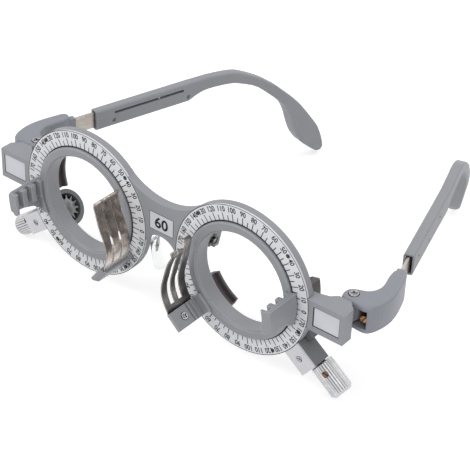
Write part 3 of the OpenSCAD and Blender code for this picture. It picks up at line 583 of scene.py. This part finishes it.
leaf = {
    # how far out from the lens rim, and at which angle round the cell, from the free tip to the block
    "course": ((0.5, 146.5), (-0.3, 149), (-0.6, 151.5), (-1, 156), (-1.4, 162), (-1.5, 168),
               (-1.1, 177), (0.2, 188), (1, 197), (1.35, 205), (1.5, 211)),
    "steps": 5, "lensRadius": 19, "thick": 0.35, "turn": {"left": 5.5, "right": -6},
    "blockAngle": 222, "blockHalf": 3, "footX": 20.55, "footIn": 1.6, "foot": (2.3, 12.6), "rootGap": 2.2,
    # back, middle and front finger: from and to, above the bend and beside the two slots
    "wide": {"left": ((2.3, 5.1), (6.4, 8.6), (10.1, 12.6)), "right": ((2.3, 5.8), (6, 9.5), (9.7, 12.6))},
    "slim": {"left": ((2.3, 5.1), (6.7, 8.6), (10.2, 12.6)), "right": ((2.3, 5.5), (6.4, 9), (9.9, 12.6))},
    "slimFrom": 181, "slimOver": 4,
    # how far each finger leans in at its tip, and how many steps shorter it is
    "leanFrom": 176, "lean": {"left": (0.8, 2, 2.4), "right": (0, 0, 0)},
    "short": {"left": (0, 11, 0), "right": (0, 0, 0)},
    "rollRadius": 0.36, "rollTurn": 200, "rollSteps": 9, "tipCut": 0.5, "cutSteps": 4,
}


def eased(share):
    # 0 to 1 with a soft start and a soft end
    return share * share * (3 - 2 * share)


def smoothPath(points, steps):
    # a smooth line through all the points
    out = []
    for i in range(len(points) - 1):
        p0, p1, p2, p3 = (points[max(0, min(len(points) - 1, i + k))] for k in (-1, 0, 1, 2))
        for k in range(steps):
            t = k / steps
            square = 2 * p0 - 5 * p1 + 4 * p2 - p3
            cube = 3 * p1 - p0 - 3 * p2 + p3
            out.append(p1 + 0.5 * t * ((p2 - p0) + t * (square + t * cube)))
    return out + [points[-1]]


def leafLine(lean):
    # middle of the sheet from the free tip to the foot, in the block's own directions
    points = []
    tip = leaf["course"][0][1]
    for offset, angle in leaf["course"]:
        inward = max(0, (leaf["leanFrom"] - angle) / (leaf["leanFrom"] - tip)) ** 2
        a = math.radians(angle - leaf["blockAngle"])
        r = leaf["lensRadius"] + offset + leaf["thick"] / 2 - lean * inward
        points.append(Vector((r * math.cos(a), r * math.sin(a))))
    line = smoothPath(points, leaf["steps"])
    x = leaf["footX"] + leaf["thick"] / 2
    return line + [Vector((x, -leaf["blockHalf"])), Vector((x, 0)), Vector((x, leaf["footIn"]))]


def rolled(line):
    # the tip curls away from the lens
    along = (line[0] - line[1]).normalized()
    away = Vector((along.y, -along.x))
    if away.dot(line[0]) < 0:
        away = -away
    r = leaf["rollRadius"]
    curl = []
    for k in range(leaf["rollSteps"], 0, -1):
        a = math.radians(leaf["rollTurn"] * k / leaf["rollSteps"])
        curl.append(line[0] + along * r * math.sin(a) + away * r * (1 - math.cos(a)))
    return curl + line


def sheetStrip(verts, faces, line, widths, place):
    start = len(verts)
    for i, p in enumerate(line):
        along = (line[min(i + 1, len(line) - 1)] - line[max(i - 1, 0)]).normalized()
        out = Vector((along.y, -along.x)) * leaf["thick"] / 2
        low, high = widths[i]
        verts += [place(p + out, low), place(p + out, high), place(p - out, high), place(p - out, low)]
    for i in range(len(line) - 1):
        for k in range(4):
            q, w = start + 4 * i + k, start + 4 * i + (k + 1) % 4
            faces.append((q, w, w + 4, q + 4))
    last = start + 4 * (len(line) - 1)
    faces.append((start + 3, start + 2, start + 1, start))
    faces.append((last, last + 1, last + 2, last + 3))


def fingerWidths(line, tip, wide, slim):
    # wider above the bend than beside the two slots below it, with cut corners at the tip
    widths = []
    bend = math.radians(leaf["slimFrom"] - leaf["blockAngle"])
    for i, p in enumerate(line):
        share = (math.atan2(p.y, p.x) - bend) / math.radians(leaf["slimOver"])
        share = eased(max(0, min(1, share))) if i >= tip else 0
        cut = leaf["tipCut"] * max(0, 1 - i / leaf["cutSteps"])
        low, high = (w + (n - w) * share for w, n in zip(wide, slim))
        widths.append((low + cut, high - cut))
    return widths


def leafPiece(side, sign):
    turn = math.radians(leaf["blockAngle"] + leaf["turn"][side])

    def place(p, height):
        # from the block's own directions to the frame
        x = p.x * math.cos(turn) - p.y * math.sin(turn)
        z = p.x * math.sin(turn) + p.y * math.cos(turn)
        return (sign * (halfPupil + x * mm), -height * mm, z * mm)

    verts, faces = [], []
    fingers = zip(*(leaf[key][side] for key in ("wide", "slim", "lean", "short")))
    for wide, slim, lean, short in fingers:
        line = leafLine(lean)[short:]
        root = next(i for i, p in enumerate(line) if p.y > -leaf["blockHalf"] - leaf["rootGap"])
        finger = rolled(line[:root + 1])
        sheetStrip(verts, faces, finger, fingerWidths(finger, len(finger) - root - 1, wide, slim), place)
    foot = line[root:]
    sheetStrip(verts, faces, foot, [leaf["foot"]] * len(foot), place)
    piece = newPiece(side + "_finger_spring", verts, faces, springSteels[side],
                     side + "_cell_body")
    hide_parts(side + "_leaf_spring")


for side, sign in bothSides.items():
    leafPiece(side, sign)
print("springs made")


# temples: the hook bends towards the head

hook = {
    "hinge": (61.5, 11.1), "toe": 16.3,
    # middle of the flat hook: along the arm, up
    "middle": ((62.7, 0), (67, 0.8), (71.25, 1.22), (79.8, 0.75), (85.1, -0.9), (93.35, -5.6),
               (103.65, -15.2), (107.85, -20.65), (110.8, -26.2), (113.45, -31.1), (116.45, -35.6),
               (119.6, -39.8), (121.5, -42.1), (121.8, -42.9)),
    "steps": 12, "longestEdge": 2.5, "cutRounds": 3, "cutMargin": 0.5,
    # how far the tip moves along the arm, up and outward, and the slim waist before the wide end
    "tipShift": (-6.6, 6.2, -8), "alongPower": 2, "outwardPower": 1.5, "upFrom": 0.2,
    "waistAt": 0.68, "waistHalf": 0.18, "waistSlim": 0.2,
}


def hookMiddle():
    # the middle line in short steps, each with the share of the length reached there
    points = []
    for a, b in zip(hook["middle"], hook["middle"][1:]):
        points += [Vector(a).lerp(Vector(b), k / hook["steps"]) for k in range(hook["steps"])]
    points.append(Vector(hook["middle"][-1]))
    reached = [0]
    for a, b in zip(points, points[1:]):
        reached.append(reached[-1] + (b - a).length)
    return points, [d / reached[-1] for d in reached]


def bendAt(share):
    # shift along, up and outward in mm, and the change of width, at a share of the hook's length
    along, up, outward = hook["tipShift"]
    rise = max(0, (share - hook["upFrom"]) / (1 - hook["upFrom"]))
    waist = max(0, 1 - ((share - hook["waistAt"]) / hook["waistHalf"]) ** 2)
    return (along * share ** hook["alongPower"], up * eased(rise),
            outward * share ** hook["outwardPower"], -hook["waistSlim"] * waist)


def fineArm(side, hinge, along):
    # copy of the arm's mesh, with short edges wherever it bends
    shape = bmesh.new()
    shape.from_mesh(nodes[side + "_arm"].data)
    cutFrom = (hook["middle"][0][0] - hook["cutMargin"]) * mm
    for cutRound in range(hook["cutRounds"]):
        longOnes = [e for e in shape.edges if e.calc_length() > hook["longestEdge"] * mm
                    and min((v.co - hinge).dot(along) for v in e.verts) > cutFrom]
        if longOnes:
            bmesh.ops.subdivide_edges(shape, edges=longOnes, cuts=1)
    bmesh.ops.triangulate(shape, faces=shape.faces[:])
    return shape


def bentArm(side, sign):
    toe = math.radians(hook["toe"])
    hinge = Vector((sign * hook["hinge"][0], hook["hinge"][1], 0)) * mm
    along = Vector((-sign * math.sin(toe), math.cos(toe), 0))
    outward = Vector((sign * math.cos(toe), math.sin(toe), 0))
    up = Vector((0, 0, 1))
    middle, shares = hookMiddle()
    shape = fineArm(side, hinge, along)
    for v in shape.verts:
        rel = (v.co - hinge) / mm
        flat = Vector((rel.dot(along), rel.z))
        if flat.x <= hook["middle"][0][0]:
            continue
        nearest = min(range(len(middle)), key=lambda i: (middle[i] - flat).length_squared)
        du, dz, dv, wider = bendAt(shares[nearest])
        moved = middle[nearest] + (flat - middle[nearest]) * (1 + wider) + Vector((du, dz))
        v.co = hinge + (along * moved.x + outward * (rel.dot(outward) + dv) + up * moved.y) * mm
    mesh = bpy.data.meshes.new(side + "_bent_arm")
    shape.to_mesh(mesh)
    shape.free()
    piece = bpy.data.objects.new(side + "_bent_arm", mesh)
    bpy.context.scene.collection.objects.link(piece)
    mesh.materials.append(greyPlastic)
    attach(piece, side + "_temple")
    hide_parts(side + "_arm")


for side, sign in bothSides.items():
    bentArm(side, sign)
print("temples bent")


# floor, lamps and white background

studio = {
    # the floor passes under the knobs in front and under the hook ends behind
    "floorTouch": ((0, 5.8 * mm, -29.3 * mm), (0, 116 * mm, -37.2 * mm)),
    "floorSize": 6, "floorGrey": 0.8, "aim": (0, 0.03, 0),
    "key": {"place": (-0.5, -0.6, 0.9), "size": 0.8, "power": 5.5},
    "fill": {"place": (0.9, -0.5, 0.5), "size": 0.9, "power": 2.5},
    "back": {"place": (0.1, 0.9, 0.8), "size": 0.9, "power": 3.5},
    "sky": 0.5, "floorGlow": 0.47,
}


def lamp(name, spec):
    light = bpy.data.lights.new(name, "AREA")
    light.energy = spec["power"]
    light.size = spec["size"]
    holder = bpy.data.objects.new(name, light)
    holder.location = spec["place"]
    direction = Vector(studio["aim"]) - Vector(spec["place"])
    holder.rotation_euler = direction.to_track_quat("-Z", "Y").to_euler()
    bpy.context.scene.collection.objects.link(holder)


for name in ("key", "fill", "back"):
    lamp(name + "Lamp", studio[name])


def whiteRays(tree):
    # 1 for camera, glossy and transmission rays
    path = tree.nodes.new("ShaderNodeLightPath")
    total = path.outputs["Is Camera Ray"]
    for ray in ("Is Glossy Ray", "Is Transmission Ray"):
        top = tree.nodes.new("ShaderNodeMath")
        top.operation = "MAXIMUM"
        tree.links.new(total, top.inputs[0])
        tree.links.new(path.outputs[ray], top.inputs[1])
        total = top.outputs[0]
    return total


world = bpy.data.worlds.new("studioWorld")
bpy.context.scene.world = world
world.use_nodes = True
tree = world.node_tree
tree.nodes.clear()
sky = tree.nodes.new("ShaderNodeBackground")
sky.inputs["Color"].default_value = (1, 1, 1, 1)
sky.inputs["Strength"].default_value = studio["sky"]
white = tree.nodes.new("ShaderNodeBackground")
white.inputs["Color"].default_value = (1, 1, 1, 1)
white.inputs["Strength"].default_value = 1
mixer = tree.nodes.new("ShaderNodeMixShader")
output = tree.nodes.new("ShaderNodeOutputWorld")
tree.links.new(whiteRays(tree), mixer.inputs[0])
tree.links.new(sky.outputs[0], mixer.inputs[1])
tree.links.new(white.outputs[0], mixer.inputs[2])
tree.links.new(mixer.outputs[0], output.inputs["Surface"])

front, back = (Vector(p) for p in studio["floorTouch"])
tilt = math.atan2(back.z - front.z, back.y - front.y)
half = studio["floorSize"] / 2
floorMesh = bpy.data.meshes.new("floor")
corners = [(-half, -half, 0), (half, -half, 0), (half, half, 0), (-half, half, 0)]
floorMesh.from_pydata(corners, [], [(0, 1, 2, 3)])
floor = bpy.data.objects.new("floor", floorMesh)
floor.location = front
floor.rotation_euler = (tilt, 0, 0)
bpy.context.scene.collection.objects.link(floor)
floorLook = bpy.data.materials.new("paleFloor")
floorLook.use_nodes = True
tree = floorLook.node_tree
tree.nodes.clear()
matte = tree.nodes.new("ShaderNodeBsdfDiffuse")
matte.inputs["Color"].default_value = (studio["floorGrey"],) * 3 + (1,)
glow = tree.nodes.new("ShaderNodeEmission")
dim = tree.nodes.new("ShaderNodeMath")
dim.operation = "MULTIPLY"
dim.inputs[1].default_value = studio["floorGlow"]
tree.links.new(whiteRays(tree), dim.inputs[0])
tree.links.new(dim.outputs[0], glow.inputs["Strength"])
both = tree.nodes.new("ShaderNodeAddShader")
output = tree.nodes.new("ShaderNodeOutputMaterial")
tree.links.new(matte.outputs[0], both.inputs[0])
tree.links.new(glow.outputs[0], both.inputs[1])
tree.links.new(both.outputs[0], output.inputs["Surface"])
floorMesh.materials.append(floorLook)
print("studio set")
